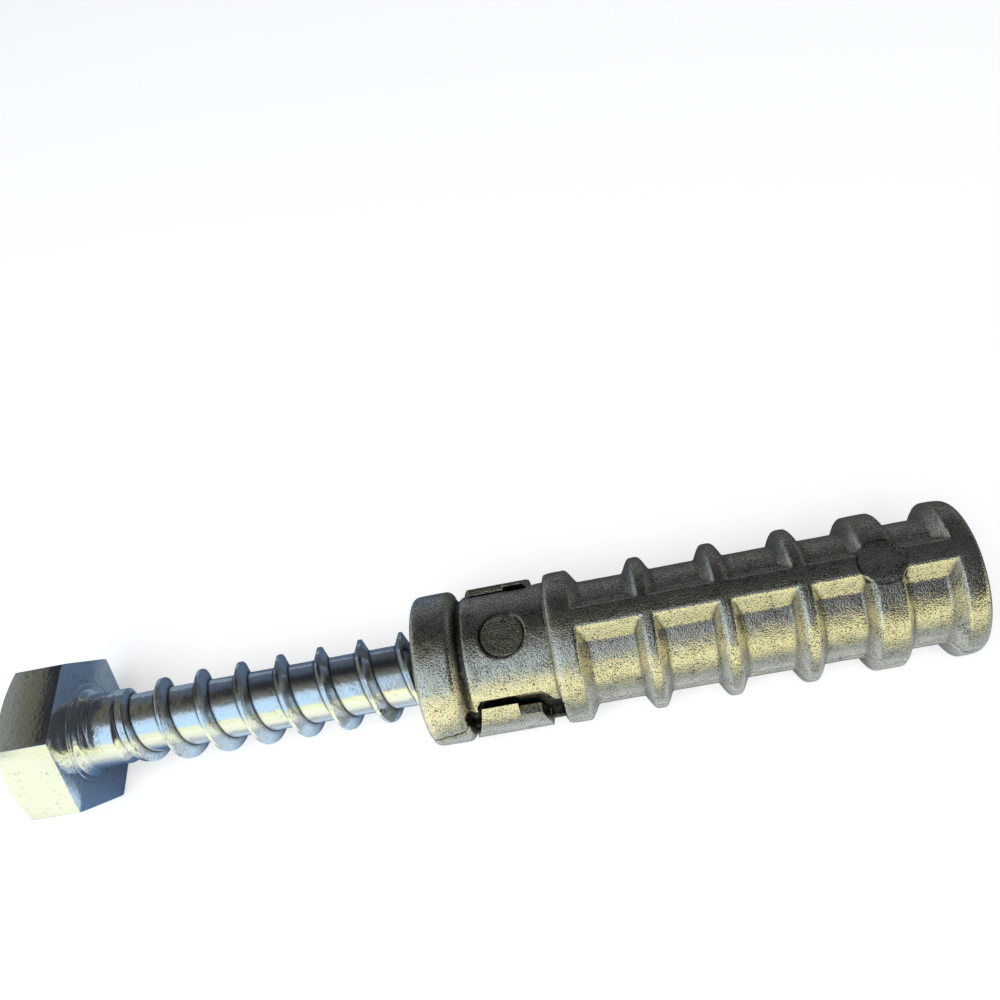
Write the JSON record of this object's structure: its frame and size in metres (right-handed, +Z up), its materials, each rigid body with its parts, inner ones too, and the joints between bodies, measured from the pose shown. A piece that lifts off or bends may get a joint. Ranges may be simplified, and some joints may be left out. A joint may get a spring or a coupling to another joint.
{
  "type": "lag shield anchor",
  "caption": "Split die-cast expansion shield with ribbed outside and a hex lag screw started in its bore, for fixing into masonry.",
  "frame": {"origin": "centre of the entry collar, on the shield's axis", "axes": "+X along the axis from the screw's head to the shield's far end, +Z up with the screw's head lying on one flat"},
  "size_m": [0.0798, 0.0144, 0.0127],
  "materials": {
    "shield_zinc": "die-cast zinc alloy, fine cast grain, dull metallic",
    "screw_steel": "steel, bright zinc plated with a bluish tint"
  },
  "bodies": {
    "lower_half": {"shield_lower_half": "shield_zinc"},
    "upper_half": {"shield_upper_half": "shield_zinc"},
    "screw": {"lag_screw": "screw_steel"}
  },
  "joints": [
    {"name": "screw_drive", "type": "slide", "parent": "lower_half", "child": "screw", "axis": [1, 0, 0], "range_m": [0, 0.024]},
    {"name": "shield_open", "type": "hinge", "parent": "lower_half", "child": "upper_half", "pos_m": [-0.00171, 0, 0], "axis": [0, -0.9898, -0.1426], "range_deg": [0, 4]}
  ],
  "couplings": [
    {"joint": "shield_open", "follows": "screw_drive", "rad_per_m": 2.9}
  ]
}
